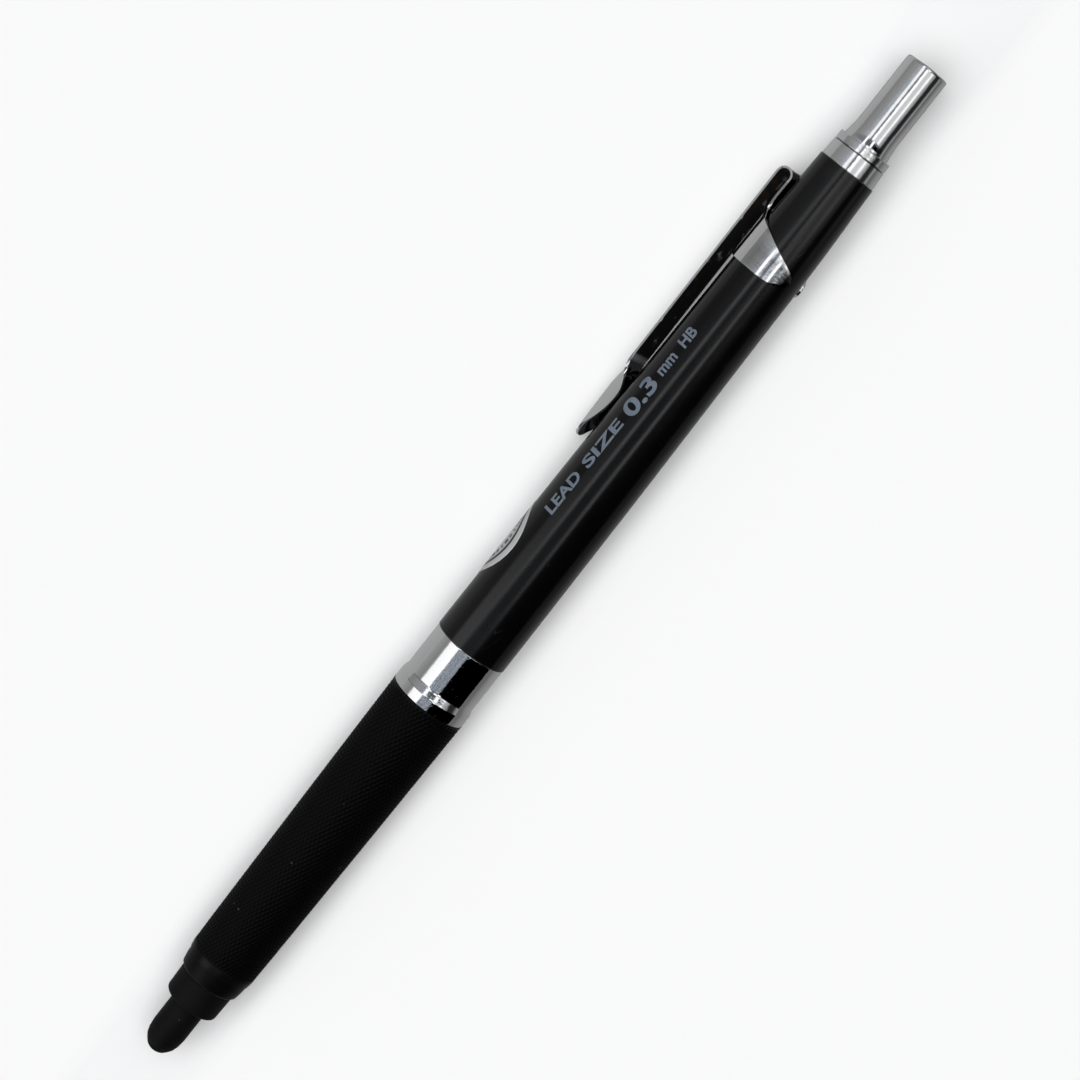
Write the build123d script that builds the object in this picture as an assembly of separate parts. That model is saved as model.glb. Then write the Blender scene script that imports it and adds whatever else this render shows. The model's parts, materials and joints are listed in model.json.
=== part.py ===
from build123d import *
import math
import os

# A clutch ("mechanical") drafting pencil for 0.3 mm lead, lying along X with its tip at -X.
# Every name that ends in _x, _front, _rear or _end is a distance in mm along the pencil, from the
# outside of the protective tip cap. Every name with _r is a radius about the pencil's axis.
# Until place() turns it, the clip stands straight up, along +Z.

# ---- driving dimensions ----
total_length = 142.0
clip_lean = 114.0  # the clip's direction, from straight up towards +Y
slide_gap = 0.03  # radial play of a piece that slides in another
seat_gap = 0.02  # play of a screwed, pressed or seated pair

# tip cap and nose cone
cap_nub_r = 2.2
cap_nub_end = 7.3
cap_skirt_r = 3.46
cap_rear = 10.83
cap_bore_x = 1.2
cap_bore_r = 1.5
cap_wall_x = 8.35
cone_front = 5.2
cone_boss_r = 2.55
shoulder_front = 10.85
shoulder_rear = 13.0
shoulder_r = 4.0
nose_thread_r = 3.0
nose_thread_end = 20.0
chuck_room_r = 2.0
chuck_room_x = 12.4
retainer_x = 9.6
retainer_r = 1.25
sleeve_front = 3.2
sleeve_r = 0.32
sleeve_bore_r = 0.215
lead_front = 3.4
lead_r = 0.19
lead_length = 60.0

# grip, liner, centre ring and barrel
grip_line = [(14.0, 4.22), (27.0, 4.44), (39.0, 4.61), (53.0, 4.77)]
liner_r = 3.28
liner_bore_r = 2.4
liner_thread_r = 3.2
liner_rear = 66.0
centre_ring_rear = 61.0
centre_ring_wide_r = 4.74
centre_ring_step = (54.4, 56.3)  # its taper runs between these
centre_ring_narrow_r = 4.50
barrel_line = [(61.0, 4.56), (75.0, 4.46), (86.0, 4.36), (97.0, 4.20), (108.0, 4.04)]
barrel_line += [(116.0, 3.94), (121.0, 3.80), (125.4, 3.61), (128.1, 3.51)]
barrel_bore_r = 3.14
insert_r = 3.88
insert_rear = 71.0

# button end
collar_front = 128.12
collar_rear = 130.2
collar_front_r = 3.40
collar_rear_r = 3.29
collar_shank_x = 121.0
collar_bore_r = 2.90
bush_seat_x = 127.2
bush_seat_r = 3.06
bush_rear = 131.25
bush_flange_r = 3.26
bush_bore_r = 2.84
button_front = 126.4
button_skirt_r = 2.80
button_skirt_end = 131.45
button_flare_end = 134.0
button_r = 2.58
button_bore_r = 2.33
tube_front = 39.05
tube_r = 1.95
tube_bore_r = 1.5
socket_front = 117.0
socket_r = 2.28
socket_bore_r = 1.99
tube_rear = 132.0
ferrule_front = 126.0
ferrule_rear = 134.0
ferrule_r = 1.96
ferrule_bore_r = 1.73
eraser_rear = 139.3
pin_front = 112.2
pin_r = 0.15

# chuck
jaw_count = 3
jaw_front = 18.6
jaw_pivot_x = 31.0
jaw_head_r = 1.55
jaw_neck_r = 0.95
jaw_cone_x = 19.3  # the head tapers from here
jaw_neck_x = 23.9  # to here
jaw_slit = 0.14
chuck_bore_r = 0.5
stem_rear = 46.0
chuck_ring_front = 20.6
chuck_ring_length = 2.5
chuck_ring_r = 2.2
housing_r = 2.6
housing_rear = 36.0
housing_web_x = 26.0
housing_web_t = 1.0
housing_bore_r = 2.1
coupler_front = 38.0
coupler_flange_t = 1.0
coupler_rear = 50.0
spring_mean_r = 1.6
spring_wire_r = 0.17
spring_turns = 9

# clip and label
strip_t = 0.28
strip_half_width = 1.87
clip_front = 87.3
clip_corner = 3.2  # length of the spoon's rounded end
arm_front = 98.8  # the flat of the arm runs from here to the fold
clip_split_x = 122.85  # the arm flexes here
clip_split_gap = 0.2
arm_start_h = 5.70  # centre line of the arm above the pencil's axis, behind the spoon
loop_x = 123.55
loop_r = 0.905  # centre line of the fold
loop_low_h = 3.90
band_front = 113.5
band_rear = 119.8
band_gap = 0.04
band_t = 0.26
label_x = 73.3
label_lean = 1.6  # past the clip's line
label_half_width = 5.5
label_t = 0.06


def turned(points, smooth=()):
    """A turned solid from closed (x, r) points; smooth is a curved run that ends the loop."""
    edges = [Line(a, b) for a, b in zip(points, points[1:])]
    if smooth:
        edges.append(Line(points[-1], smooth[0]))
        edges.append(Spline(*smooth))
        edges.append(Line(smooth[-1], points[0]))
    else:
        edges.append(Line(points[-1], points[0]))
    return revolve(make_face(edges), axis=Axis.X, revolution_arc=360)


def rod(x0, x1, r):
    return turned([(x0, 0), (x0, r), (x1, r), (x1, 0)])


def tube(x0, x1, r_out, r_in):
    return turned([(x0, r_in), (x0, r_out), (x1, r_out), (x1, r_in)])


def line_radius(line, x):
    """The radius at x of an outline given as (x, r) stations."""
    for (x0, r0), (x1, r1) in zip(line, line[1:]):
        if x0 <= x <= x1:
            return r0 + (r1 - r0) * (x - x0) / (x1 - x0)
    return line[-1][1]


def place(solid):
    """Leans the clip over and stands the pencil on z = 0, centred in X."""
    return Pos(-total_length / 2, axis_y, axis_z) * Rot(-clip_lean, 0, 0) * solid


def clip_point(x, h, side=0):
    """A point of the finished pencil from its place on the clip, for joints and box sizes."""
    lean = math.radians(clip_lean)
    y = h * math.sin(lean) + side * math.cos(lean)
    z = h * math.cos(lean) - side * math.sin(lean)
    return Vector(x - total_length / 2, axis_y + y, axis_z + z)


def make_tip_cap():
    end = Spline((0, 0), (0.35, 1.15), (1.3, 1.9), tangents=[(0, 1), (0.8, 0.6)])
    side = Spline((1.3, 1.9), (3.0, cap_nub_r), tangents=[(0.8, 0.6), (1, 0)])
    corners = [(3.0, cap_nub_r), (cap_nub_end, cap_nub_r), (cap_nub_end, 3.05)]
    corners += [(7.62, cap_skirt_r - 0.1), (cap_rear - 0.15, cap_skirt_r), (cap_rear, cap_skirt_r - 0.15)]
    corners += [(cap_rear, cone_boss_r + slide_gap), (cap_wall_x, cone_boss_r + slide_gap)]
    corners += [(cap_wall_x, cap_bore_r), (cap_bore_x + 0.5, cap_bore_r), (cap_bore_x, 1.0), (cap_bore_x, 0), (0, 0)]
    edges = [end, side] + [Line(a, b) for a, b in zip(corners, corners[1:])]
    return revolve(make_face(edges), axis=Axis.X, revolution_arc=360)


def make_nose_cone():
    points = [(cone_front, sleeve_r + seat_gap), (cone_front, 0.62), (8.4, 1.42), (8.42, 2.3), (8.8, cone_boss_r)]
    points += [(shoulder_front, cone_boss_r), (shoulder_front, 3.55), (11.1, 3.8), (shoulder_rear, shoulder_r)]
    points += [(shoulder_rear, nose_thread_r), (nose_thread_end, nose_thread_r), (nose_thread_end, chuck_room_r)]
    points += [(chuck_room_x, chuck_room_r), (chuck_room_x, retainer_r), (retainer_x, retainer_r)]
    points += [(retainer_x, sleeve_r + seat_gap)]
    return turned(points)


def make_lead_sleeve():
    return tube(sleeve_front, retainer_x - 0.05, sleeve_r, sleeve_bore_r)


def make_lead_retainer():
    return tube(retainer_x + 0.1, chuck_room_x - 0.1, retainer_r - seat_gap, sleeve_bore_r)


def make_lead():
    return rod(lead_front, lead_front + lead_length, lead_r)


def make_grip():
    bore = liner_r + seat_gap
    front = shoulder_rear + seat_gap
    rear = grip_line[-1][0]
    return turned([(rear, bore), (front, bore), (front, 4.1)], smooth=grip_line)


def make_grip_liner():
    front = shoulder_rear + seat_gap
    points = [(front, nose_thread_r + seat_gap), (front, liner_r), (centre_ring_rear, liner_r)]
    points += [(centre_ring_rear, liner_thread_r), (liner_rear, liner_thread_r), (liner_rear, liner_bore_r)]
    points += [(coupler_front, liner_bore_r), (coupler_front, housing_bore_r)]
    points += [(housing_rear + 0.05, housing_bore_r), (housing_rear + 0.05, housing_r + seat_gap)]
    points += [(nose_thread_end, housing_r + seat_gap), (nose_thread_end, nose_thread_r + seat_gap)]
    return turned(points)


def make_centre_ring():
    front = grip_line[-1][0] + seat_gap
    bore = liner_r + seat_gap
    points = [(front, bore), (front, centre_ring_wide_r - 0.1), (front + 0.1, centre_ring_wide_r)]
    points += [(centre_ring_step[0], centre_ring_wide_r), (centre_ring_step[1], centre_ring_narrow_r)]
    points += [(centre_ring_rear, centre_ring_narrow_r), (centre_ring_rear, bore)]
    return turned(points)


def make_barrel():
    front = centre_ring_rear + seat_gap
    outline = [(front, barrel_line[0][1])] + barrel_line[1:]
    rear = barrel_line[-1][0]
    points = [(rear, barrel_bore_r), (insert_rear + seat_gap, barrel_bore_r)]
    points += [(insert_rear + seat_gap, insert_r + seat_gap), (front, insert_r + seat_gap)]
    return turned(points, smooth=outline)


def make_barrel_insert():
    return tube(centre_ring_rear + seat_gap, insert_rear, insert_r, liner_thread_r + seat_gap)


def make_end_collar():
    points = [(collar_shank_x, collar_bore_r), (collar_shank_x, barrel_bore_r - seat_gap)]
    points += [(collar_front, barrel_bore_r - seat_gap), (collar_front, collar_front_r)]
    points += [(collar_rear, collar_rear_r), (collar_rear, bush_seat_r)]
    points += [(bush_seat_x, bush_seat_r), (bush_seat_x, collar_bore_r)]
    return turned(points)


def make_guide_bush():
    flange = collar_rear + 0.06
    spigot_r = bush_seat_r - seat_gap
    points = [(bush_seat_x + 0.05, bush_bore_r), (bush_seat_x + 0.05, spigot_r), (flange, spigot_r)]
    points += [(flange, bush_flange_r), (bush_rear - 0.3, bush_flange_r), (bush_rear - 0.08, bush_flange_r - 0.12)]
    points += [(bush_rear, bush_flange_r - 0.3), (bush_rear, bush_bore_r)]
    return turned(points)


def make_push_button():
    rear = total_length
    flare = Spline(
        (button_skirt_end, button_skirt_r),
        (132.2, 2.69),
        (button_flare_end, button_r),
        tangents=[(1, -0.25), (1, 0)],
    )
    corner = ThreePointArc((rear - 0.6, button_r), (rear - 0.28, button_r - 0.14), (rear - 0.14, button_r - 0.46))
    crown = Spline((rear - 0.14, button_r - 0.46), (rear - 0.035, 1.0), (rear, 0), tangents=[(0.35, -1), (0, -1)])
    seat = tube_rear + 0.05
    inner = [(rear, 0), (rear - 0.65, 0), (rear - 0.65, 1.9), (rear - 0.9, 2.15), (seat, 2.15), (seat, button_bore_r)]
    inner += [(button_front, button_bore_r), (button_front, button_skirt_r), (button_skirt_end, button_skirt_r)]
    edges = [flare, Line((button_flare_end, button_r), (rear - 0.6, button_r)), corner, crown]
    edges += [Line(a, b) for a, b in zip(inner, inner[1:])]
    return revolve(make_face(edges), axis=Axis.X, revolution_arc=360)


def make_lead_tube():
    points = [(tube_front, tube_bore_r), (tube_front, tube_r), (socket_front, tube_r), (socket_front + 0.6, socket_r)]
    points += [(tube_rear, socket_r), (tube_rear, socket_bore_r), (ferrule_front - 0.1, socket_bore_r)]
    points += [(ferrule_front - 0.6, tube_bore_r)]
    return turned(points)


def make_eraser_ferrule():
    base = ferrule_front + 0.5
    points = [(ferrule_front, pin_r + seat_gap), (ferrule_front, ferrule_r), (ferrule_rear, ferrule_r)]
    points += [(ferrule_rear, ferrule_bore_r), (base, ferrule_bore_r), (base, pin_r + seat_gap)]
    return turned(points)


def make_eraser():
    r = ferrule_bore_r - seat_gap
    front = ferrule_front + 0.55
    points = [(front, 0), (front, r), (eraser_rear - 0.3, r), (eraser_rear, r - 0.3), (eraser_rear, 0)]
    return turned(points)


def make_cleaning_pin():
    return rod(pin_front, ferrule_front + 0.5, pin_r)


def make_chuck_jaws():
    """The slit front of the chuck, as one solid for each jaw, with its middle's angle in degrees."""
    points = [(jaw_front, lead_r + 0.015), (jaw_front, jaw_head_r - 0.25), (jaw_front + 0.3, jaw_head_r)]
    points += [(jaw_cone_x, jaw_head_r), (jaw_neck_x, jaw_neck_r), (jaw_pivot_x, jaw_neck_r)]
    points += [(jaw_pivot_x, chuck_bore_r), (jaw_front + 2.0, chuck_bore_r), (jaw_front + 2.0, lead_r + 0.015)]
    whole = turned(points)
    length = jaw_pivot_x - jaw_front + 2
    middle = (jaw_front + jaw_pivot_x) / 2
    step = 360 / jaw_count
    for i in range(jaw_count):
        slit = Pos(middle, 0, 2) * Box(length, jaw_slit, 4)
        whole = whole - Rot(step * (i + 0.5), 0, 0) * slit
    jaws = []
    for i in range(jaw_count):
        angle = math.radians(step * i)
        lean = Vector(0, -math.sin(angle), math.cos(angle))
        jaws.append(max(whole.solids(), key=lambda s: s.center().dot(lean)))
    return jaws


def make_chuck_stem():
    return tube(jaw_pivot_x + 0.05, stem_rear, jaw_neck_r, chuck_bore_r)


def make_chuck_ring():
    slope = (jaw_head_r - jaw_neck_r) / (jaw_neck_x - jaw_cone_x)
    rear = chuck_ring_front + chuck_ring_length
    bore_front = jaw_head_r - slope * (chuck_ring_front - jaw_cone_x) + slide_gap
    bore_rear = jaw_head_r - slope * (rear - jaw_cone_x) + slide_gap
    points = [(chuck_ring_front, bore_front), (chuck_ring_front, chuck_ring_r)]
    points += [(rear, chuck_ring_r), (rear, bore_rear)]
    return turned(points)


def make_chuck_housing():
    front = nose_thread_end + 0.05
    web_rear = housing_web_x + housing_web_t
    room_r = chuck_ring_r + 0.04
    points = [(front, room_r), (front, housing_r), (housing_rear, housing_r), (housing_rear, housing_bore_r)]
    points += [(web_rear, housing_bore_r), (web_rear, jaw_neck_r + 0.2), (housing_web_x, jaw_neck_r + 0.2)]
    points += [(housing_web_x, room_r)]
    return turned(points)


def make_chuck_spring():
    front = housing_web_x + housing_web_t + spring_wire_r + 0.05
    rear = coupler_front - spring_wire_r - 0.05
    pitch = (rear - front) / spring_turns
    path = Helix(pitch, rear - front, spring_mean_r, center=(front, 0, 0), direction=(1, 0, 0))
    section = Plane(path @ 0, z_dir=path % 0) * Circle(spring_wire_r)
    return sweep(section, path=path, is_frenet=True)


def make_tube_coupler():
    flange_rear = coupler_front + coupler_flange_t
    stem_bore = jaw_neck_r + seat_gap
    points = [(coupler_front, stem_bore), (coupler_front, 2.0), (flange_rear, 2.0)]
    points += [(flange_rear, tube_bore_r - seat_gap), (coupler_rear, tube_bore_r - seat_gap)]
    points += [(coupler_rear, 0.6), (stem_rear + 0.05, 0.6), (stem_rear + 0.05, stem_bore)]
    return turned(points)


def make_spare_leads():
    """Three spare leads along the bottom of the lead tube; built as the pencil lies."""
    ring = tube_bore_r - lead_r - slide_gap
    leads = []
    for angle in (-24, 0, 24):
        turn = math.radians(angle)
        lead = rod(coupler_rear + 1, coupler_rear + 1 + lead_length, lead_r)
        leads.append(Pos(-total_length / 2, axis_y + ring * math.sin(turn), axis_z - ring * math.cos(turn)) * lead)
    return Compound(children=[solid for lead in leads for solid in lead.solids()])


def side_cut(outline_edges):
    """A straight bar across the pencil whose side view is the given outline of (x, height)."""
    face = Plane.XZ * make_face(outline_edges)
    return extrude(face, amount=8, both=True)


def make_clip_band():
    stations = [band_front] + [x for x, _ in barrel_line if band_front < x < band_rear] + [band_rear]
    inside = [(x, line_radius(barrel_line, x) + band_gap) for x in stations]
    outside = [(x, r + band_t) for x, r in inside]
    shell = turned(inside + outside[::-1])
    above = 6  # clear of the band's top
    outline = [
        Line((band_front, above), (band_rear, above)),
        Line((band_rear, above), (band_rear, 3.6)),
        ThreePointArc((band_rear, 3.6), (118.2, 1.1), (116.5, -2.3)),
        ThreePointArc((116.5, -2.3), (115.3, -3.6), (113.9, -3.5)),
        Line((113.9, -3.5), (band_front, -3.1)),
        Line((band_front, -3.1), (band_front, above)),
    ]
    ears = shell & side_cut(outline)
    return ears + make_strip_fold()


def make_strip_fold():
    """The flat of the band's strip and the fold that turns it back into the arm."""
    low = strip_t / 2
    start = (band_rear - 2.2, 4.09)
    top = loop_low_h + 2 * loop_r
    arm_rise = (top - arm_start_h) / (loop_x - arm_front)
    split = clip_split_x + clip_split_gap / 2
    split_h = top - arm_rise * (loop_x - split)
    outline = [
        Line((start[0], start[1] - low), (loop_x, loop_low_h - low)),
        ThreePointArc(
            (loop_x, loop_low_h - low),
            (loop_x + loop_r + low, loop_low_h + loop_r),
            (loop_x, top + low),
        ),
        Line((loop_x, top + low), (split, split_h + low)),
        Line((split, split_h + low), (split, split_h - low)),
        Line((split, split_h - low), (loop_x, top - low)),
        ThreePointArc(
            (loop_x, top - low),
            (loop_x + loop_r - low, loop_low_h + loop_r),
            (loop_x, loop_low_h + low),
        ),
        Line((loop_x, loop_low_h + low), (start[0], start[1] + low)),
        Line((start[0], start[1] + low), (start[0], start[1] - low)),
    ]
    bar = side_cut(outline)
    return bar & Pos(120, 0, 5) * Box(20, 2 * strip_half_width, 10)


def arch_face(x, crown, edge):
    """The strip's section at x: bowed, with its outer face at crown in the middle and edge at the sides."""
    sag = crown - edge
    bow = (strip_half_width**2 + sag**2) / (2 * sag)
    centre = crown - bow
    reach = math.asin(strip_half_width / bow)

    def at(r, a):
        return (x, r * math.sin(a), centre + r * math.cos(a))

    inner = bow - strip_t
    edges = [
        ThreePointArc(at(bow, -reach), at(bow, 0), at(bow, reach)),
        Line(at(bow, reach), at(inner, reach)),
        ThreePointArc(at(inner, reach), at(inner, 0), at(inner, -reach)),
        Line(at(inner, -reach), at(bow, -reach)),
    ]
    return Face(Wire(edges))


def make_clip_arm():
    spoon = [
        (clip_front, 5.95, 5.75),
        (88.9, 6.28, 5.30),
        (91.6, 6.42, 4.55),
        (93.3, 6.46, 4.27),
        (94.6, 6.46, 4.36),
        (96.2, 6.36, 4.98),
        (97.6, 6.06, 5.50),
        (arm_front + 0.2, 5.85, 5.83),
    ]
    bowl = loft([arch_face(x, crown, edge) for x, crown, edge in spoon])
    half = strip_half_width + 0.01
    shoulder_x = clip_front + clip_corner
    round_end = Pos(shoulder_x, 0) * Ellipse(clip_corner, half)
    plan = round_end + Pos(shoulder_x + 10, 0) * Rectangle(20, 2 * half)
    bowl = bowl & extrude(plan, amount=10)
    top = loop_low_h + 2 * loop_r
    rise = (top - arm_start_h) / (loop_x - arm_front)
    split = clip_split_x - clip_split_gap / 2
    low = strip_t / 2
    split_h = top - rise * (loop_x - split)
    outline = [
        Line((arm_front, arm_start_h - low), (split, split_h - low)),
        Line((split, split_h - low), (split, split_h + low)),
        Line((split, split_h + low), (arm_front, arm_start_h + low)),
        Line((arm_front, arm_start_h + low), (arm_front, arm_start_h - low)),
    ]
    arm = side_cut(outline) & Pos(110, 0, 5) * Box(30, 2 * strip_half_width, 10)
    return bowl + arm


def make_foil_label():
    r = line_radius(barrel_line, label_x)
    stations = [label_x - 6, 75.0, label_x + 6]
    inside = [(x, line_radius(barrel_line, x) + 0.03) for x in stations]
    shell = turned(inside + [(x, rr + label_t) for x, rr in inside[::-1]])
    steps = 24
    outline = []
    for i in range(steps):
        turn = 2 * math.pi * i / steps
        across = label_half_width * math.sin(turn) / r
        outline.append((label_x + label_half_width * math.cos(turn), r * math.sin(across)))
    disc = make_face(Spline(*outline, periodic=True))
    return Rot(-label_lean, 0, 0) * (shell & extrude(disc, amount=10))


# Where the axis lies: the grip's widest point rests on z = 0, and Y is centred on the whole outline.
widest = max(r for _, r in grip_line)
axis_y = 0.0
axis_z = widest
clip_arm = make_clip_arm()
clip_reach = (Rot(-clip_lean, 0, 0) * clip_arm).bounding_box().max.Y
axis_y = (widest - clip_reach) / 2

pieces = {
    "tip_cap": make_tip_cap(),
    "nose_cone": make_nose_cone(),
    "lead_sleeve": make_lead_sleeve(),
    "lead_retainer": make_lead_retainer(),
    "lead": make_lead(),
    "grip": make_grip(),
    "grip_liner": make_grip_liner(),
    "centre_ring": make_centre_ring(),
    "barrel": make_barrel(),
    "barrel_insert": make_barrel_insert(),
    "end_collar": make_end_collar(),
    "guide_bush": make_guide_bush(),
    "push_button": make_push_button(),
    "lead_tube": make_lead_tube(),
    "eraser_ferrule": make_eraser_ferrule(),
    "eraser": make_eraser(),
    "cleaning_pin": make_cleaning_pin(),
    "chuck_stem": make_chuck_stem(),
    "chuck_ring": make_chuck_ring(),
    "chuck_housing": make_chuck_housing(),
    "chuck_spring": make_chuck_spring(),
    "tube_coupler": make_tube_coupler(),
    "clip_band": make_clip_band(),
    "clip_arm": clip_arm,
    "foil_label": make_foil_label(),
}
for number, jaw in enumerate(make_chuck_jaws(), start=1):
    pieces[f"chuck_jaw_{number}"] = jaw

os.makedirs("parts", exist_ok=True)
for name, piece in pieces.items():
    export_step(place(piece), f"parts/{name}.step")
export_step(make_spare_leads(), "parts/spare_leads.step")

# Joint and mount places in metres, for the record.
pivots = {"clip_flex": clip_point(loop_x, loop_low_h + loop_r), "axis": Vector(0, axis_y, axis_z)}
for name, spot in pivots.items():
    print(name, [round(value / 1000, 6) for value in spot])
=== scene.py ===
import json
import math

import bmesh
import bpy
from mathutils import Matrix, Vector


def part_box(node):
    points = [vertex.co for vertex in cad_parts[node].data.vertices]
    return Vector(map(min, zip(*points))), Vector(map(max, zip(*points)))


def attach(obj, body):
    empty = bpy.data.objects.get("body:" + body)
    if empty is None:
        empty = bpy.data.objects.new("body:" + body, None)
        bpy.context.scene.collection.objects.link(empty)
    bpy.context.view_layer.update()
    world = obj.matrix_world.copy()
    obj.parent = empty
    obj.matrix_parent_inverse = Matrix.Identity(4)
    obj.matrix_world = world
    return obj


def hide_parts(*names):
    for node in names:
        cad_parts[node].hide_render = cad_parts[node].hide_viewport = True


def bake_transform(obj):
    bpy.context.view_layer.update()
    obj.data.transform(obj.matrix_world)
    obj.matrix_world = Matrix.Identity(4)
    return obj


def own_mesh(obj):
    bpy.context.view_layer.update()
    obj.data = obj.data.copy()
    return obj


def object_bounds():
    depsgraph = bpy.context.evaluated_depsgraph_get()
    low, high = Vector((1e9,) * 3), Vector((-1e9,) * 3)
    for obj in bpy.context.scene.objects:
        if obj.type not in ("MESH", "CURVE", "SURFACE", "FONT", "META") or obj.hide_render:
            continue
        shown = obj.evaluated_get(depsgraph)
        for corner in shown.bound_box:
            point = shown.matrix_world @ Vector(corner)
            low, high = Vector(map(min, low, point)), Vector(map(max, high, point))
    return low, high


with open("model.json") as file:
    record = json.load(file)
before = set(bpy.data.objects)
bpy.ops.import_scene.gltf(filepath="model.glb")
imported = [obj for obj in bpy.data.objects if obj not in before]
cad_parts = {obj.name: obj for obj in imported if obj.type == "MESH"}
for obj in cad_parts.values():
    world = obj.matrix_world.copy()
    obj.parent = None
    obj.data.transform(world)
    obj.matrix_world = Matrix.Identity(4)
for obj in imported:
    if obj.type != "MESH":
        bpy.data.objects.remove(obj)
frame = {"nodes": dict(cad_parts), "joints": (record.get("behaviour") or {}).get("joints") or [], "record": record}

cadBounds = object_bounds()
print("frame loaded")

# Lengths along the pencil are mm from the end of the tip cap, heights and radii are mm from its axis.
# "Up the clip" is the way the clip stands off the barrel, and "side" is across it.
mm = 0.001
mounts = {mount["name"]: mount for mount in frame["record"]["mounts"]}
joints = {joint["name"]: joint for joint in frame["joints"]}
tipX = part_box("tip_cap")[0].x
axisY, axisZ = mounts["capped_tip"]["pos_m"][1:]
foldCentre = Vector(joints["clip_flex"]["pos_m"])
clipUp = Vector((0, foldCentre.y - axisY, foldCentre.z - axisZ)).normalized()
clipSide = Vector((1, 0, 0)).cross(clipUp)


def fromTip(x):
    return (x - tipX) / mm


def span(node):
    low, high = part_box(node)
    return fromTip(low.x), fromTip(high.x)


def at(x, up, side):  # a point in the frame from its place on the pencil
    return Vector((tipX + x * mm, axisY, axisZ)) + clipUp * (up * mm) + clipSide * (side * mm)


def atAngle(x, radius, angle):  # the angle is 0 straight up and grows towards the clip
    return Vector((tipX + x * mm, axisY + radius * mm * math.sin(angle), axisZ + radius * mm * math.cos(angle)))


# Shader helpers

def addNode(tree, kind, inputs=None, **settings):
    node = tree.nodes.new(kind)
    for name, value in settings.items():
        setattr(node, name, value)
    for key, value in (inputs or {}).items():
        if isinstance(value, bpy.types.NodeSocket):
            tree.links.new(value, node.inputs[key])
        else:
            node.inputs[key].default_value = value
    return node


def maths(tree, operation, first, second=0.0, third=0.0):
    return addNode(tree, "ShaderNodeMath", {0: first, 1: second, 2: third}, operation=operation).outputs[0]


def times(tree, first, second):
    return maths(tree, "MULTIPLY", first, second)


def weighted(tree, total, *terms):  # a value with each (mask, weight) added in turn
    for value, weight in terms:
        total = maths(tree, "MULTIPLY_ADD", value, weight, total)
    return total


def axes(tree, place):  # the x, y and z of a place
    return addNode(tree, "ShaderNodeSeparateXYZ", {0: place}).outputs


def noise(tree, place, scale, detail, roughness=0.5):
    inputs = {"Vector": place, "Scale": scale, "Detail": detail, "Roughness": roughness}
    return addNode(tree, "ShaderNodeTexNoise", inputs).outputs[0]


def remap(tree, value, fromLow, fromHigh, toLow=0.0, toHigh=1.0, kind="LINEAR"):
    inputs = {"Value": value, "From Min": fromLow, "From Max": fromHigh, "To Min": toLow, "To Max": toHigh}
    return addNode(tree, "ShaderNodeMapRange", inputs, interpolation_type=kind, clamp=True).outputs["Result"]


def mixColours(tree, share, first, second):
    return addNode(tree, "ShaderNodeMix", {0: share, 6: first, 7: second}, data_type="RGBA").outputs[2]


def newGroup(name, inputs, outputs, kind="ShaderNodeTree"):  # a word is a socket's type, a number a float's value
    tree = bpy.data.node_groups.new(name, kind)
    for label, given in inputs.items():
        socketType = given if isinstance(given, str) else "Float"
        socket = tree.interface.new_socket(label, in_out="INPUT", socket_type="NodeSocket" + socketType)
        if socketType != given:
            socket.default_value = given
    for label, socketType in outputs.items():
        tree.interface.new_socket(label, in_out="OUTPUT", socket_type="NodeSocket" + socketType)
    source = tree.nodes.new("NodeGroupInput")
    sink = tree.nodes.new("NodeGroupOutput")
    return tree, source.outputs, sink.inputs


def mottleGroup():  # slow and fine variation, both about 0
    inputs = {"Position": "Vector", "Scale": 300.0}
    tree, given, result = newGroup("surfaceMottle", inputs, {"Slow": "Float", "Fine": "Float"})
    fineness = 14.0
    slow = noise(tree, given["Position"], given["Scale"], 3.0)
    fine = noise(tree, given["Position"], times(tree, given["Scale"], fineness), 2.0)
    tree.links.new(maths(tree, "SUBTRACT", slow, 0.5), result["Slow"])
    tree.links.new(maths(tree, "SUBTRACT", fine, 0.5), result["Fine"])
    return tree


def scratchGroup():  # hairline scratches where a stretched noise crosses its middle value
    inputs = {"Position": "Vector", "Scale": 120.0, "Width": 0.01, "Cover": 0.5, "Turn": 0.3}
    tree, given, result = newGroup("hairScratches", inputs, {"Mask": "Float"})
    turned = addNode(tree, "ShaderNodeVectorRotate", {"Vector": given["Position"], "Angle": given["Turn"]},
                     rotation_type="Z_AXIS").outputs[0]
    stretched = addNode(tree, "ShaderNodeMapping", {"Vector": turned, "Scale": (0.12, 1.0, 1.0)}).outputs[0]
    streaks = noise(tree, stretched, times(tree, given["Scale"], 6.0), 0.0)
    away = maths(tree, "ABSOLUTE", maths(tree, "SUBTRACT", streaks, 0.5))
    line = remap(tree, away, 0.0, given["Width"], 1.0, 0.0)
    broken = noise(tree, given["Position"], given["Scale"], 2.0)
    limit = maths(tree, "SUBTRACT", 0.75, times(tree, given["Cover"], 0.35))
    kept = remap(tree, broken, limit, maths(tree, "ADD", limit, 0.04))
    tree.links.new(times(tree, line, kept), result["Mask"])
    return tree


def dustGroup():  # small specks of lint, fewer when Cover is low
    inputs = {"Position": "Vector", "Scale": 900.0, "Cover": 0.1}
    tree, given, result = newGroup("dustSpecks", inputs, {"Mask": "Float"})
    cells = addNode(tree, "ShaderNodeTexVoronoi",
                    {"Vector": given["Position"], "Scale": given["Scale"], "Randomness": 1.0}).outputs
    chosen = addNode(tree, "ShaderNodeSeparateColor", {0: cells["Color"]}).outputs
    keep = maths(tree, "LESS_THAN", chosen[0], given["Cover"])
    size = remap(tree, chosen[1], 0.0, 1.0, 0.08, 0.26)
    spot = remap(tree, cells["Distance"], times(tree, size, 0.5), size, 1.0, 0.0)
    tree.links.new(times(tree, keep, spot), result["Mask"])
    return tree


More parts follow.
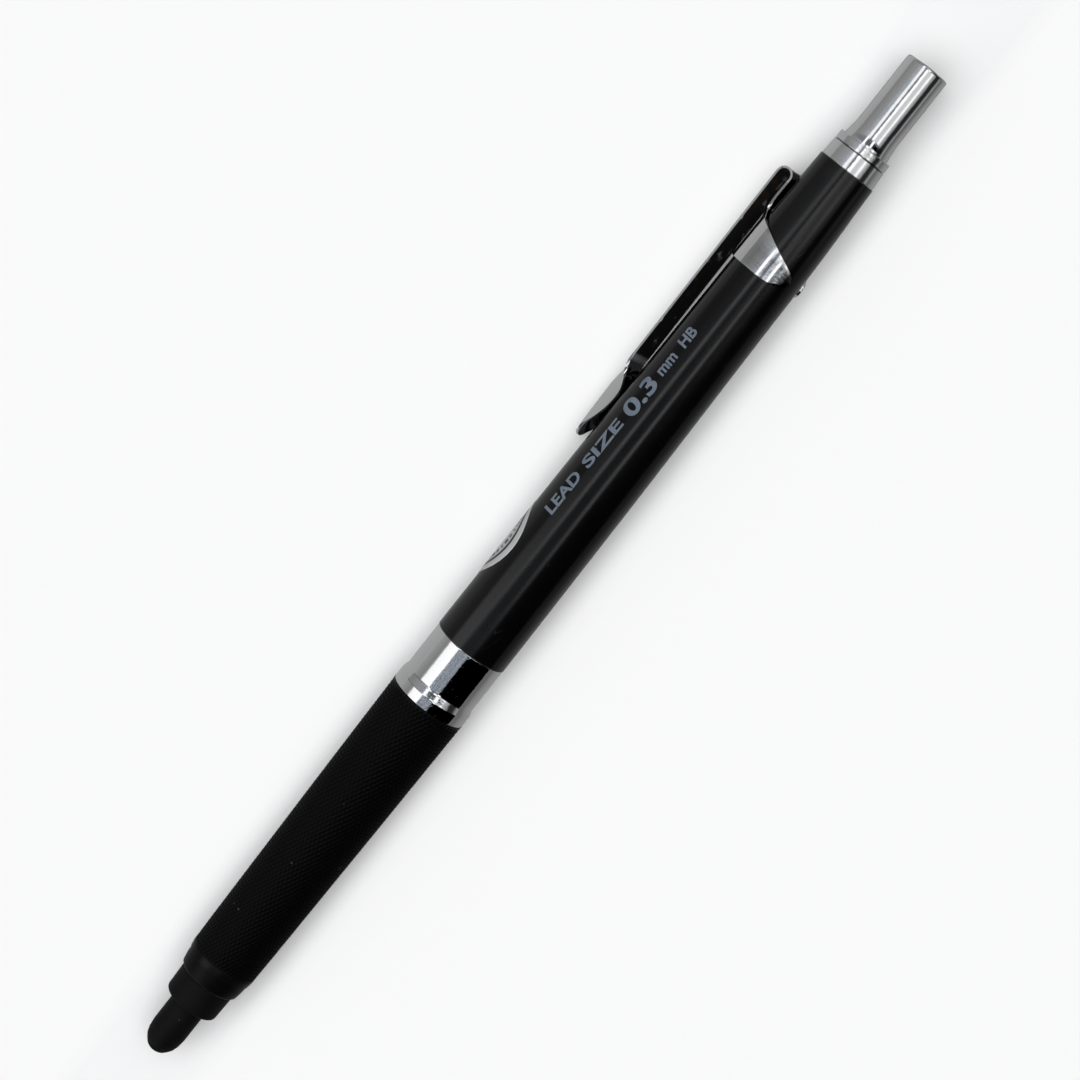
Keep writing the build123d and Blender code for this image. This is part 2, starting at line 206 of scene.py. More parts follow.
def rimWearAndSeamShadeGroup():  # a band at a turned edge, at a distance along the pencil: rubbed finish on the black parts, and on the chrome a near-black painted shade line at the seam between the end collar and the guide bush
    inputs = {"Position": "Vector", "Edge": 0.0, "Reach": 0.0003}
    tree, given, result = newGroup("rimWear", inputs, {"Mask": "Float"})
    away = maths(tree, "ABSOLUTE", maths(tree, "SUBTRACT", axes(tree, given["Position"])[0], given["Edge"]))
    ragged = noise(tree, given["Position"], 1400.0, 3.0)
    reach = times(tree, given["Reach"], times(tree, ragged, 2.0))
    tree.links.new(remap(tree, away, 0.0, reach, 1.0, 0.0, "SMOOTHSTEP"), result["Mask"])
    return tree


surfaceMottle = mottleGroup()
hairScratches = scratchGroup()
dustSpecks = dustGroup()
rimWear = rimWearAndSeamShadeGroup()


def useGroup(tree, group, inputs):
    return addNode(tree, "ShaderNodeGroup", inputs, node_tree=group).outputs


def newMaterial(name):
    material = bpy.data.materials.new(name)
    material.use_nodes = True
    tree = material.node_tree
    return material, tree, tree.nodes["Principled BSDF"], addNode(tree, "ShaderNodeTexCoord").outputs["Object"]


def connect(tree, shader, colour, rough, height, depth):
    bump = addNode(tree, "ShaderNodeBump", {"Height": height, "Distance": depth, "Strength": 1.0})
    for name, value in (("Base Color", colour), ("Roughness", rough), ("Normal", bump.outputs[0])):
        tree.links.new(value, shader.inputs[name])


def shaded(base, share):
    return (*[c * share for c in base], 1)


# Finishes
# colour, roughness, metal and specular are the base finish; mottle and grain vary it; bumps are metres.

finishes = {
    "capRubber": {"colour": (0.0028, 0.0028, 0.003), "roughness": 0.56, "specular": 0.12, "scale": 420.0,
                  "mottle": 0.25, "grain": 0.12, "bump": 0.000006, "scratch": 0.1, "dust": 0.05},
    "shoulderBlack": {"colour": (0.0012, 0.0012, 0.0013), "roughness": 0.4, "specular": 0.14, "scale": 380.0,
                      "mottle": 0.2, "grain": 0.08, "bump": 0.000002, "scratch": 0.3, "dust": 0.03,
                      "edges": [("nose_cone", 5.85), ("nose_cone", 7.95)], "worn": (0.02, 0.02, 0.02)},
    "barrelBlack": {"colour": (0.001, 0.001, 0.0011), "roughness": 0.17, "specular": 0.5, "scale": 260.0,
                    "mottle": 0.12, "grain": 0.05, "bump": 0.0000006, "scratch": 0.35, "dust": 0.012,
                    "edges": [("barrel", 0.0), ("barrel", 67.08)], "worn": (0.05, 0.05, 0.052)},
    # the chrome's edge band is painted shade, not wear: a near-black line at the seam between the end collar and the
    # guide bush
    "brightChrome": {"colour": (0.86, 0.865, 0.875), "roughness": 0.035, "metal": 1.0, "scale": 200.0,
                     "mottle": 0.04, "grain": 0.02, "bump": 0.0000014, "scratch": 0.5, "dust": 0.004,
                     "edges": [("end_collar", 9.2)], "worn": (0.02, 0.02, 0.024), "wear": 1.0},
    "linerBrass": {"colour": (0.72, 0.52, 0.22), "roughness": 0.28, "metal": 1.0, "scale": 260.0,
                   "mottle": 0.15, "grain": 0.1, "bump": 0.0000015, "scratch": 0.6, "dust": 0.0},
    "drawnSteel": {"colour": (0.6, 0.6, 0.61), "roughness": 0.24, "metal": 1.0, "scale": 300.0,
                   "mottle": 0.1, "grain": 0.1, "bump": 0.000001, "scratch": 0.7, "dust": 0.0},
    "leadGraphite": {"colour": (0.035, 0.035, 0.038), "roughness": 0.4, "specular": 0.6, "scale": 900.0,
                     "mottle": 0.3, "grain": 0.3, "bump": 0.000002, "scratch": 0.2, "dust": 0.0},
    "retainerRubber": {"colour": (0.03, 0.03, 0.03), "roughness": 0.6, "specular": 0.3, "scale": 500.0,
                       "mottle": 0.2, "grain": 0.2, "bump": 0.000004, "scratch": 0.0, "dust": 0.0},
    "milkyPlastic": {"colour": (0.62, 0.63, 0.61), "roughness": 0.34, "specular": 0.5, "scale": 240.0,
                     "mottle": 0.1, "grain": 0.08, "bump": 0.000002, "scratch": 0.4, "dust": 0.01, "cloud": 0.35},
    "greyPlastic": {"colour": (0.2, 0.2, 0.21), "roughness": 0.4, "specular": 0.5, "scale": 260.0,
                    "mottle": 0.12, "grain": 0.1, "bump": 0.000003, "scratch": 0.2, "dust": 0.01},
    "eraserWhite": {"colour": (0.78, 0.78, 0.755), "roughness": 0.75, "specular": 0.3, "scale": 330.0,
                    "mottle": 0.1, "grain": 0.2, "bump": 0.000012, "scratch": 0.0, "dust": 0.03, "cloud": 0.2},
    "labelInk": {"colour": (0.03, 0.032, 0.036), "roughness": 0.42, "specular": 0.45, "scale": 600.0,
                 "mottle": 0.2, "grain": 0.15, "bump": 0.000001, "scratch": 0.3, "dust": 0.0},
    "printSlate": {"colour": (0.112, 0.138, 0.172), "roughness": 0.5, "specular": 0.25, "scale": 700.0,
                   "mottle": 0.15, "grain": 0.12, "bump": 0.000002, "scratch": 0.3, "dust": 0.0},
}


wear = {"scratchLift": 0.05, "scratchShare": 0.5, "scratchRough": 0.12, "dustShare": 0.12, "dustRough": 0.3,
        "dustTone": (0.32, 0.32, 0.31, 1), "dustFineness": 3.2, "edgeReach": 0.00012, "edgeRough": -0.06}


def makeFinish(name, look):
    material, tree, shader, position = newMaterial(name)
    varied = useGroup(tree, surfaceMottle, {"Position": position, "Scale": look["scale"]})
    scratches = useGroup(
        tree, hairScratches, {"Position": position, "Scale": look["scale"], "Cover": look["scratch"]})["Mask"]
    dust = useGroup(tree, dustSpecks, {"Position": position, "Scale": look["scale"] * wear["dustFineness"],
                                       "Cover": look["dust"]})["Mask"]
    base = look["colour"]
    slow = remap(tree, varied["Slow"], -0.25, 0.25)
    colour = mixColours(tree, slow, shaded(base, 1 - look["mottle"]), shaded(base, 1 + look["mottle"]))
    scratchTone = [c + (1 - c) * wear["scratchLift"] for c in base]
    colour = mixColours(tree, times(tree, scratches, wear["scratchShare"]), colour, (*scratchTone, 1))
    colour = mixColours(tree, times(tree, dust, wear["dustShare"]), colour, wear["dustTone"])
    rough = weighted(tree, look["roughness"], (varied["Slow"], look["mottle"] * 0.6),
                     (varied["Fine"], look["grain"] * 0.5), (scratches, wear["scratchRough"]),
                     (dust, wear["dustRough"]))
    # edge bands: rubbed wear on the black parts, painted seam shade on the chrome
    for node, edge in look.get("edges", []):
        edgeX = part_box(node)[0].x + edge * mm
        worn = useGroup(tree, rimWear, {"Position": position, "Edge": edgeX, "Reach": wear["edgeReach"]})["Mask"]
        colour = mixColours(tree, times(tree, worn, look.get("wear", 0.5)), colour, (*look["worn"], 1))
        rough = weighted(tree, rough, (worn, wear["edgeRough"]))
    height = maths(tree, "ADD", weighted(tree, varied["Fine"], (scratches, -0.6)), dust)
    connect(tree, shader, colour, rough, height, look["bump"] * 4)
    shader.inputs["Metallic"].default_value = look.get("metal", 0.0)
    shader.inputs["Specular IOR Level"].default_value = look.get("specular", 0.5)
    if "cloud" in look:
        shader.inputs["Subsurface Weight"].default_value = look["cloud"]
        shader.inputs["Subsurface Radius"].default_value = (0.0012, 0.001, 0.0009)
        shader.inputs["Subsurface Scale"].default_value = 0.4
    return material


materials = {name: makeFinish(name, look) for name, look in finishes.items()}


gripLook = {"valley": (0.0003, 0.0003, 0.0003), "crest": (0.0022, 0.0022, 0.0024), "rubbed": (0.016, 0.016, 0.017),
            "roughValley": 0.55, "roughCrest": 0.3, "specular": 0.09, "bump": 0.000006}


def makeGripFinish(look):  # crests are polished by the fingers and valleys stay dull, after the crest attribute
    material, tree, shader, position = newMaterial("gripBlack")
    crest = addNode(tree, "ShaderNodeAttribute", attribute_name="crest").outputs["Fac"]
    varied = useGroup(tree, surfaceMottle, {"Position": position, "Scale": 220.0})
    dust = useGroup(tree, dustSpecks, {"Position": position, "Scale": 1300.0, "Cover": 0.02})["Mask"]
    tops = remap(tree, crest, 0.45, 1.0, kind="SMOOTHSTEP")
    colour = mixColours(tree, tops, (*look["valley"], 1), (*look["crest"], 1))
    rubbed = times(tree, remap(tree, varied["Slow"], 0.02, 0.22), remap(tree, crest, 0.86, 1.0))
    colour = mixColours(tree, times(tree, rubbed, 0.5), colour, (*look["rubbed"], 1))
    colour = mixColours(tree, times(tree, dust, wear["dustShare"]), colour, (0.2, 0.2, 0.2, 1))
    rough = remap(tree, crest, 0.3, 1.0, look["roughValley"], look["roughCrest"])
    connect(tree, shader, colour, weighted(tree, rough, (varied["Fine"], 0.12)), varied["Fine"], look["bump"])
    shader.inputs["Specular IOR Level"].default_value = look["specular"]
    return material


clipLook = {"colour": (0.85, 0.855, 0.865), "stain": (0.03, 0.012, 0.006), "soot": (0.006, 0.0055, 0.005),
            "roughness": 0.05, "stainRough": 0.55, "bump": 0.000002, "rustReach": 7, "rustFull": 1}


def makeClipFinish(look):  # bright plating, with brown rust stain and near-black painted shade in blots inside the fold and on the hidden face of the arm
    material, tree, shader, position = newMaterial("clipChrome")
    varied = useGroup(tree, surfaceMottle, {"Position": position, "Scale": 260.0})
    scratches = useGroup(
        tree, hairScratches, {"Position": position, "Scale": 220.0, "Cover": 0.7, "Width": 0.012})["Mask"]
    hidden = addNode(tree, "ShaderNodeAttribute", attribute_name="hidden").outputs["Fac"]
    blots = noise(tree, position, 420.0, 5.0, 0.65)
    # blots on the hidden faces: near-black painted shade, turning to brown rust stain towards the fold
    rustAndShadeMask = times(tree, hidden, remap(tree, blots, 0.28, 0.42, kind="SMOOTHSTEP"))
    rustFrom = foldCentre.x - look["rustReach"] * mm
    nearFold = remap(tree, axes(tree, position)[0], rustFrom, foldCentre.x - look["rustFull"] * mm, 0.08, 1.0)
    rusty = times(tree, remap(tree, noise(tree, position, 900.0, 4.0), 0.45, 0.62), nearFold)
    stain = mixColours(tree, rusty, (*look["soot"], 1), (*look["stain"], 1))
    colour = mixColours(tree, remap(tree, varied["Slow"], -0.3, 0.3), shaded(look["colour"], 0.97),
                        (*look["colour"], 1))
    colour = mixColours(tree, rustAndShadeMask, colour, stain)
    rough = weighted(tree, look["roughness"], (scratches, wear["scratchRough"]), (varied["Fine"], 0.03),
                     (rustAndShadeMask, look["stainRough"]))
    metal = maths(tree, "SUBTRACT", 1.0, times(tree, rustAndShadeMask, 0.8))
    height = weighted(tree, varied["Fine"], (rustAndShadeMask, 2.0), (scratches, -0.5))
    connect(tree, shader, colour, rough, height, look["bump"])
    tree.links.new(metal, shader.inputs["Metallic"])
    return material


def makeFoilFinish():  # matt silver foil with a fine crinkle
    material, tree, shader, position = newMaterial("labelFoil")
    varied = useGroup(tree, surfaceMottle, {"Position": position, "Scale": 500.0})
    dust = useGroup(tree, dustSpecks, {"Position": position, "Scale": 2400.0, "Cover": 0.05})["Mask"]
    slow = remap(tree, varied["Slow"], -0.25, 0.25)
    colour = mixColours(tree, slow, (0.56, 0.56, 0.565, 1), (0.66, 0.66, 0.665, 1))
    colour = mixColours(tree, times(tree, dust, 0.5), colour, (0.2, 0.2, 0.2, 1))
    rough = weighted(tree, 0.42, (varied["Fine"], 0.2))
    connect(tree, shader, colour, rough, varied["Fine"], 0.000012)
    shader.inputs["Metallic"].default_value = 0.55
    return material


materials["gripBlack"] = makeGripFinish(gripLook)
materials["clipChrome"] = makeClipFinish(clipLook)
materials["labelFoil"] = makeFoilFinish()
print("materials made:", len(materials))


# Turned pieces

turnSteps = 256


def softCorner(before, corner, after, radius, steps=5):  # a rounded corner between two straight runs
    corner = Vector(corner)
    back = Vector(before) - corner
    ahead = Vector(after) - corner
    cut = min(radius, back.length * 0.49, ahead.length * 0.49)
    start = corner + back.normalized() * cut
    end = corner + ahead.normalized() * cut
    points = []
    for i in range(steps + 1):
        t = i / steps
        points.append(tuple(start * (1 - t) ** 2 + corner * (2 * t * (1 - t)) + end * t**2))
    return points


def softOutline(corners, closed):  # corners are (x, r) or (x, r, rounding)
    count = len(corners)
    points = []
    for i, corner in enumerate(corners):
        rounding = corner[2] if len(corner) > 2 else 0
        inside = closed or 0 < i < count - 1
        if rounding and inside:
            before = corners[i - 1][:2]
            after = corners[(i + 1) % count][:2]
            points += softCorner(before, corner[:2], after, rounding)
        else:
            points.append(corner[:2])
    return points


def smoothRun(stations, steps=6):  # a curve through (x, r) stations, with the slope carried on at its ends
    runs = [stations[0]]
    for i in range(len(stations) - 1):
        a, b = Vector(stations[i]), Vector(stations[i + 1])
        before = Vector(stations[i - 1]) if i else a - (b - a)
        after = Vector(stations[i + 2]) if i + 2 < len(stations) else b + (b - a)
        slopeA = (b.y - before.y) / (b.x - before.x)
        slopeB = (after.y - a.y) / (after.x - a.x)
        width = b.x - a.x
        for k in range(1, steps + 1):
            t = k / steps
            start = (2 * t**3 - 3 * t**2 + 1) * a.y + (t**3 - 2 * t**2 + t) * width * slopeA
            end = (3 * t**2 - 2 * t**3) * b.y + (t**3 - t**2) * width * slopeB
            runs.append((a.x + width * t, start + end))
    return runs


def readRun(run, x):  # the radius or height at x on a run of (x, value) points, held at its ends
    if x <= run[0][0]:
        return run[0][1]
    for (x0, value0), (x1, value1) in zip(run, run[1:]):
        if x <= x1:
            return value0 + (value1 - value0) * (x - x0) / (x1 - x0)
    return run[-1][1]


def linked(name, data):  # a new object in the scene
    holder = bpy.data.objects.new(name, data)
    bpy.context.scene.collection.objects.link(holder)
    return holder


def meshPiece(name, bm, material):
    mesh = bpy.data.meshes.new(name)
    bm.to_mesh(mesh)
    bm.free()
    mesh.materials.append(material)
    return linked(name, mesh)


def smoothFaces(mesh, sharpAngle):
    mesh.polygons.foreach_set("use_smooth", [True] * len(mesh.polygons))
    mesh.set_sharp_from_angle(angle=math.radians(sharpAngle))


def finishMesh(name, bm, material):
    bmesh.ops.recalc_face_normals(bm, faces=bm.faces)
    piece = meshPiece(name, bm, material)
    smoothFaces(piece.data, 40)
    return piece


def faceOutward(piece):  # flips a sheet of faces that looks into the barrel
    face = piece.data.polygons[0]
    if face.normal.dot(face.center - Vector((face.center.x, axisY, axisZ))) < 0:
        piece.data.flip_normals()


def evaluatedMesh(piece):
    bpy.context.view_layer.update()
    return bpy.data.meshes.new_from_object(piece.evaluated_get(bpy.context.evaluated_depsgraph_get()))


def keepModified(piece):  # the result of the modifiers becomes the plain mesh
    shaped = evaluatedMesh(piece)
    piece.modifiers.clear()
    piece.data = shaped
    return piece


def heldRuns(outline, closed):  # extra points beside each corner keep the straight runs straight in the shading
    points = [Vector(point) for point in outline]
    count = len(points)
    kept = []
    beside = 0.035
    shortRun = 0.15
    for i, point in enumerate(points):
        before, after = points[i - 1], points[(i + 1) % count]
        back, ahead = point - before, after - point
        inside = closed or 0 < i < count - 1
        turns = inside and back.length > 1e-6 and ahead.length > 1e-6 and back.angle(ahead) > math.radians(2.5)
        if turns and back.length > shortRun:
            kept.append(tuple(point - back.normalized() * beside))
        kept.append(tuple(point))
        if turns and ahead.length > shortRun:
            kept.append(tuple(point + ahead.normalized() * beside))
    return kept


def turnedPiece(name, outline, material, closed=True, steps=turnSteps):
    bm = bmesh.new()
    outline = heldRuns(outline, closed)
    rings = []
    for x, radius in outline:
        if radius < 1e-6:
            rings.append([bm.verts.new(atAngle(x, 0, 0))])
        else:
            rings.append([bm.verts.new(atAngle(x, radius, 2 * math.pi * i / steps)) for i in range(steps)])
    following = rings[1:] + ([rings[0]] if closed else [])
    for ring, after in zip(rings, following):
        for i in range(steps):
            j = (i + 1) % steps
            if len(ring) == 1 and len(after) == 1:
                break
            if len(ring) == 1:
                bm.faces.new((ring[0], after[i], after[j]))
            elif len(after) == 1:
                bm.faces.new((ring[i], after[0], ring[j]))
            else:
                bm.faces.new((ring[i], after[i], after[j], ring[j]))
    return finishMesh(name, bm, material)


def putInPlace(piece, body, slot, *nodes):
    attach(piece, body)
    if nodes:
        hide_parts(*nodes)
    return piece


barrelSizes = {"stations": [(66.0, 4.53), (75.0, 4.46), (86.0, 4.36), (97.0, 4.20), (108.0, 4.04), (116.0, 3.94),
                            (121.0, 3.80), (125.4, 3.61)],
               "frontRadius": 4.56, "rearRadius": 3.51, "bore": 3.14, "insertBore": 3.9, "insertRear": 71.02,
               "edge": 0.07}

barrelFront, barrelRear = span("barrel")
barrelRun = smoothRun([(barrelFront, barrelSizes["frontRadius"]), *barrelSizes["stations"],
                       (barrelRear, barrelSizes["rearRadius"])])


def barrelRadius(x):
    return readRun(barrelRun, x)


def makeBarrel(size):
    front, rear, run = barrelFront, barrelRear, barrelRun
    edge = size["edge"]
    outline = softCorner((front, size["insertBore"]), run[0], run[1], edge)
    outline += run[1:-1]
    outline += softCorner(run[-2], run[-1], (rear, size["bore"]), edge)
    outline += [(rear, size["bore"]), (size["insertRear"], size["bore"]), (size["insertRear"], size["insertBore"])]
    outline += [(front, size["insertBore"])]
    piece = turnedPiece("barrel_shell", outline, materials["barrelBlack"])
    return putInPlace(piece, "barrel_assembly", "barrel_black", "barrel")


def placeBrightRing(node, corners):
    piece = turnedPiece(node + "_bright", softOutline(corners, True), materials["brightChrome"])
    putInPlace(piece, "barrel_assembly", "chrome", node)


ringSizes = {"wide": 4.74, "narrow": 4.50, "stepFront": 54.4, "stepRear": 55.25, "bore": 3.3}


def makeCentreRing(size):
    front, rear = span("centre_ring")
    corners = [(front, size["bore"]), (front, size["wide"], 0.09), (size["stepFront"], size["wide"], 0.12)]
    corners += [(size["stepRear"], size["narrow"], 0.16), (rear, size["narrow"], 0.05), (rear, size["bore"])]
    placeBrightRing("centre_ring", corners)


collarSizes = {"shank": 3.12, "shankBore": 2.9, "seatX": 127.2, "seat": 3.06, "shoulderX": 128.12,
               "front": 3.40, "rear": 3.29}


def makeEndCollar(size):
    front, rear = span("end_collar")
    corners = [(front, size["shankBore"]), (front, size["shank"]), (size["shoulderX"], size["shank"])]
    corners += [(size["shoulderX"], size["front"], 0.04), (rear, size["rear"], 0.05), (rear, size["seat"])]
    corners += [(size["seatX"], size["seat"]), (size["seatX"], size["shankBore"])]
    placeBrightRing("end_collar", corners)


bushSizes = {"spigot": 3.04, "flangeX": 130.26, "flange": 3.26, "bore": 2.84}


def makeGuideBush(size):
    front, rear = span("guide_bush")
    corners = [(front, size["bore"]), (front, size["spigot"]), (size["flangeX"], size["spigot"])]
    corners += [(size["flangeX"], size["flange"], 0.05), (rear, size["flange"], 0.12), (rear, size["bore"], 0.05)]
    placeBrightRing("guide_bush", corners)


buttonSizes = {"skirt": 2.80, "neck": [(131.45, 2.80), (132.3, 2.68), (133.2, 2.60), (134.4, 2.58)],
               "radius": 2.58, "straightX": 136, "rim": 0.42, "dome": 0.1, "domeEdge": 0.55, "seatX": 132.05,
               "skirtBore": 2.33, "bore": 2.15, "wall": 0.65}


def makePushButton(size):
    front, rear = span("push_button")
    radius = size["radius"]
    outer = [(front, size["skirt"])] + smoothRun(size["neck"], 8)
    end = (rear - size["dome"], radius - 0.6)
    outer += softCorner((size["straightX"], radius), (rear - 0.12, radius), end, size["rim"], 8)
    for i in range(1, 9):  # the shallow dome of the end
        share = i / 8
        outer.append((rear - size["dome"] * (1 - share) ** 2, (radius - size["domeEdge"]) * (1 - share)))
    inner = [(rear - size["wall"], 0), (rear - size["wall"], 1.9), (rear - size["wall"] - 0.25, size["bore"])]
    inner += [(size["seatX"], size["bore"]), (size["seatX"], size["skirtBore"]), (front, size["skirtBore"])]
    outline = outer + inner + [(front, size["skirt"])]
    piece = turnedPiece("push_button_bright", outline, materials["brightChrome"], False)
    return putInPlace(piece, "push_button", "chrome", "push_button")


capSizes = {"nub": 2.2, "nubEnd": 7.3, "skirtFront": 3.36, "skirt": 3.46, "skirtBore": 2.58, "skirtWall": 8.35,
            "bore": 1.5, "boreEnd": 1.2, "noseEnd": 3.0,
            "nose": [(0, 0), (0.02, 0.4), (0.12, 0.84), (0.36, 1.2), (0.75, 1.52), (1.3, 1.88), (1.95, 2.08)]}


def makeTipCap(size):
    front, rear = span("tip_cap")
    nose = [(front + x, radius) for x, radius in size["nose"]]
    corners = [(front + size["noseEnd"], size["nub"]), (size["nubEnd"], size["nub"], 0.12)]
    corners += [(size["nubEnd"], size["skirtFront"], 0.4)]
    corners += [(rear, size["skirt"], 0.14), (rear, size["skirtBore"], 0.05), (size["skirtWall"], size["skirtBore"])]
    corners += [(size["skirtWall"], size["bore"]), (size["boreEnd"] + 0.5, size["bore"]), (size["boreEnd"], 1.0)]
    corners += [(size["boreEnd"], 0)]
    piece = turnedPiece("tip_cap_rubber", nose + softOutline(corners, False), materials["capRubber"], False)
    return putInPlace(piece, "tip_cap", "cap_rubber", "tip_cap")


coneSizes = {"sleeveBore": 0.34, "front": 0.62, "coneRear": 8.4, "coneRadius": 1.42, "boss": 2.55,
             "shoulderX": 10.85, "shoulderRear": 13.0, "shoulder": 4.0, "thread": 3.0, "room": 2.0,
             "roomX": 12.4, "retainer": 1.25, "retainerX": 9.6, "step": 2.3, "bossX": 8.8, "shoulderEdge": 3.55,
             "crown": [(0.25, 3.79), (1.1, 3.93)]}


def makeNoseCone(size):
    front, rear = span("nose_cone")
    shoulderRun = [(size["shoulderX"] + x, radius) for x, radius in size["crown"]]
    shoulderRun.append((size["shoulderRear"], size["shoulder"]))
    corners = [(front, size["sleeveBore"]), (front, size["front"], 0.1), (size["coneRear"], size["coneRadius"])]
    corners += [(size["coneRear"] + 0.02, size["step"]), (size["bossX"], size["boss"], 0.1)]
    corners += [(size["shoulderX"], size["boss"]), (size["shoulderX"], size["shoulderEdge"], 0.1)]
    back = [(size["shoulderRear"], size["thread"]), (rear, size["thread"]), (rear, size["room"])]
    back += [(size["roomX"], size["room"]), (size["roomX"], size["retainer"]), (size["retainerX"], size["retainer"])]
    back += [(size["retainerX"], size["sleeveBore"])]
    outline = softOutline([*corners, shoulderRun[0]], False)[:-1] + smoothRun(shoulderRun) + back
    piece = turnedPiece("nose_cone_black", outline, materials["shoulderBlack"])
    return putInPlace(piece, "barrel_assembly", "black_metal", "nose_cone")


makeBarrel(barrelSizes)
makeCentreRing(ringSizes)
makeEndCollar(collarSizes)
makeGuideBush(bushSizes)
makePushButton(buttonSizes)
makeTipCap(capSizes)
makeNoseCone(coneSizes)
print("turned pieces made")


# Knurled grip

gripSizes = {"stations": [(14.0, 4.22), (20.0, 4.34), (27.0, 4.44), (39.0, 4.61), (53.0, 4.77)], "frontRadius": 4.1,
             "bore": 3.3, "starts": 54, "lead": 1.02, "depth": 0.1, "crossDepth": 0.055, "fade": 0.5, "plainFront": 0.9,
             "samplesPerRidge": 6}


def knurlTree():
    inputs = {"Geometry": "Geometry", "Starts": 54.0, "Ridge Pitch": 0.001, "Depth": 0.0001, "Cross Depth": 0.00005,
              "Front": 0.0, "Rear": 0.04, "Fade": 0.0004, "Bore": 0.003, "Material": "Material"}
    tree, given, result = newGroup("knurl", inputs, {"Geometry": "Geometry"}, "GeometryNodeTree")
    along, across, height = axes(tree, tree.nodes.new("GeometryNodeInputPosition").outputs[0])
    y = maths(tree, "SUBTRACT", across, axisY)
    z = maths(tree, "SUBTRACT", height, axisZ)
    turn = maths(tree, "DIVIDE", maths(tree, "ARCTAN2", y, z), 2 * math.pi)
    radius = maths(tree, "SQRT", maths(tree, "ADD", times(tree, y, y), times(tree, z, z)))
    around = times(tree, turn, given["Starts"])
    advance = maths(tree, "DIVIDE", maths(tree, "SUBTRACT", along, given["Front"]), given["Ridge Pitch"])
    main = maths(tree, "PINGPONG", maths(tree, "ADD", around, advance), 0.5)
    cross = maths(tree, "PINGPONG", maths(tree, "SUBTRACT", around, advance), 0.5)
    cut = times(tree, times(tree, main, 2.0), given["Depth"])
    cut = maths(tree, "MULTIPLY_ADD", times(tree, cross, 2.0), given["Cross Depth"], cut)
    frontFade = remap(tree, along, given["Front"], maths(tree, "ADD", given["Front"], given["Fade"]))
    rearFade = remap(tree, along, maths(tree, "SUBTRACT", given["Rear"], given["Fade"]), given["Rear"], 1.0, 0.0)
    cut = times(tree, cut, times(tree, frontFade, rearFade))
    total = maths(tree, "ADD", given["Depth"], given["Cross Depth"])
    crest = maths(tree, "SUBTRACT", 1.0, maths(tree, "DIVIDE", cut, total))
    outside = maths(tree, "GREATER_THAN", radius, given["Bore"])
    inward = times(tree, cut, -1.0)
    towards = addNode(tree, "ShaderNodeCombineXYZ", {1: times(tree, maths(tree, "DIVIDE", y, radius), inward),
                                                     2: times(tree, maths(tree, "DIVIDE", z, radius), inward)})
    named = addNode(tree, "GeometryNodeStoreNamedAttribute", {
        "Geometry": given["Geometry"], "Name": "crest", "Value": crest}, data_type="FLOAT", domain="POINT")
    moved = addNode(tree, "GeometryNodeSetPosition", {
        "Geometry": named.outputs[0], "Selection": outside, "Offset": towards.outputs[0]})
    real = addNode(tree, "GeometryNodeRealizeInstances", {0: moved.outputs[0]})
    painted = addNode(tree, "GeometryNodeSetMaterial", {"Geometry": real.outputs[0], "Material": given["Material"]})
    tree.links.new(painted.outputs[0], result["Geometry"])
    return tree


def applyTree(piece, tree, values):  # runs a node tree on a piece and keeps the result as its plain mesh
    modifier = piece.modifiers.new(tree.name, "NODES")
    modifier.node_group = tree
    for item in tree.interface.items_tree:
        if item.in_out == "INPUT" and item.name in values:
            modifier[item.identifier] = values[item.name]
    return keepModified(piece)


def makeGrip(size):
    front, rear = span("grip")
    line = smoothRun([(front, size["frontRadius"]), *size["stations"]], 12)
    count = round((rear - front) * size["samplesPerRidge"] / size["lead"])
    outline = []
    for i in range(count + 1):
        x = front + (rear - front) * i / count
        outline.append((x, readRun(line, x)))
    outline += [(rear, size["bore"]), (front, size["bore"])]
    piece = turnedPiece("grip_knurled", outline, materials["gripBlack"], True,
                        size["starts"] * size["samplesPerRidge"])
    values = {"Starts": float(size["starts"]), "Ridge Pitch": size["lead"] * mm, "Depth": size["depth"] * mm,
              "Cross Depth": size["crossDepth"] * mm, "Front": tipX + (front + size["plainFront"]) * mm,
              "Rear": tipX + rear * mm, "Fade": size["fade"] * mm, "Bore": (size["bore"] + 0.1) * mm,
              "Material": materials["gripBlack"]}
    applyTree(piece, knurlTree(), values)
    return putInPlace(piece, "barrel_assembly", "grip_black", "grip")


springSizes = {"wire": 0.17, "turns": 9.0, "stepsPerTurn": 28, "sides": 12, "clickTravel": 3.5}


def makeSpring(size):  # the return spring, wound as an even coil
    front, rear = span("chuck_spring")
    low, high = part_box("chuck_spring")
    wire = size["wire"]
    coil = (high.y - low.y) / mm / 2 - wire
    steps = round(size["turns"] * size["stepsPerTurn"])
    run = rear - front - 2 * wire
    bm = bmesh.new()
    rings = []
    for i in range(steps + 1):
        turn = 2 * math.pi * size["turns"] * i / steps
        x = front + wire + run * i / steps
        sides = [2 * math.pi * k / size["sides"] for k in range(size["sides"])]
        rings.append([bm.verts.new(atAngle(x + wire * math.sin(s), coil + wire * math.cos(s), turn)) for s in sides])
    for ring, after in zip(rings, rings[1:]):
        for k in range(size["sides"]):
            j = (k + 1) % size["sides"]
            bm.faces.new((ring[k], after[k], after[j], ring[j]))
    bm.faces.new(rings[0])
    bm.faces.new(rings[-1])
    piece = finishMesh("chuck_spring_wire", bm, materials["drawnSteel"])
    putInPlace(piece, "barrel_assembly", "steel", "chuck_spring")
    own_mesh(piece)
    return piece


makeSpring(springSizes)
makeGrip(gripSizes)
print("grip knurled")


# Clip
# One strip: it starts at the spoon, runs back along the arm, folds, and opens into the two ears round the barrel.

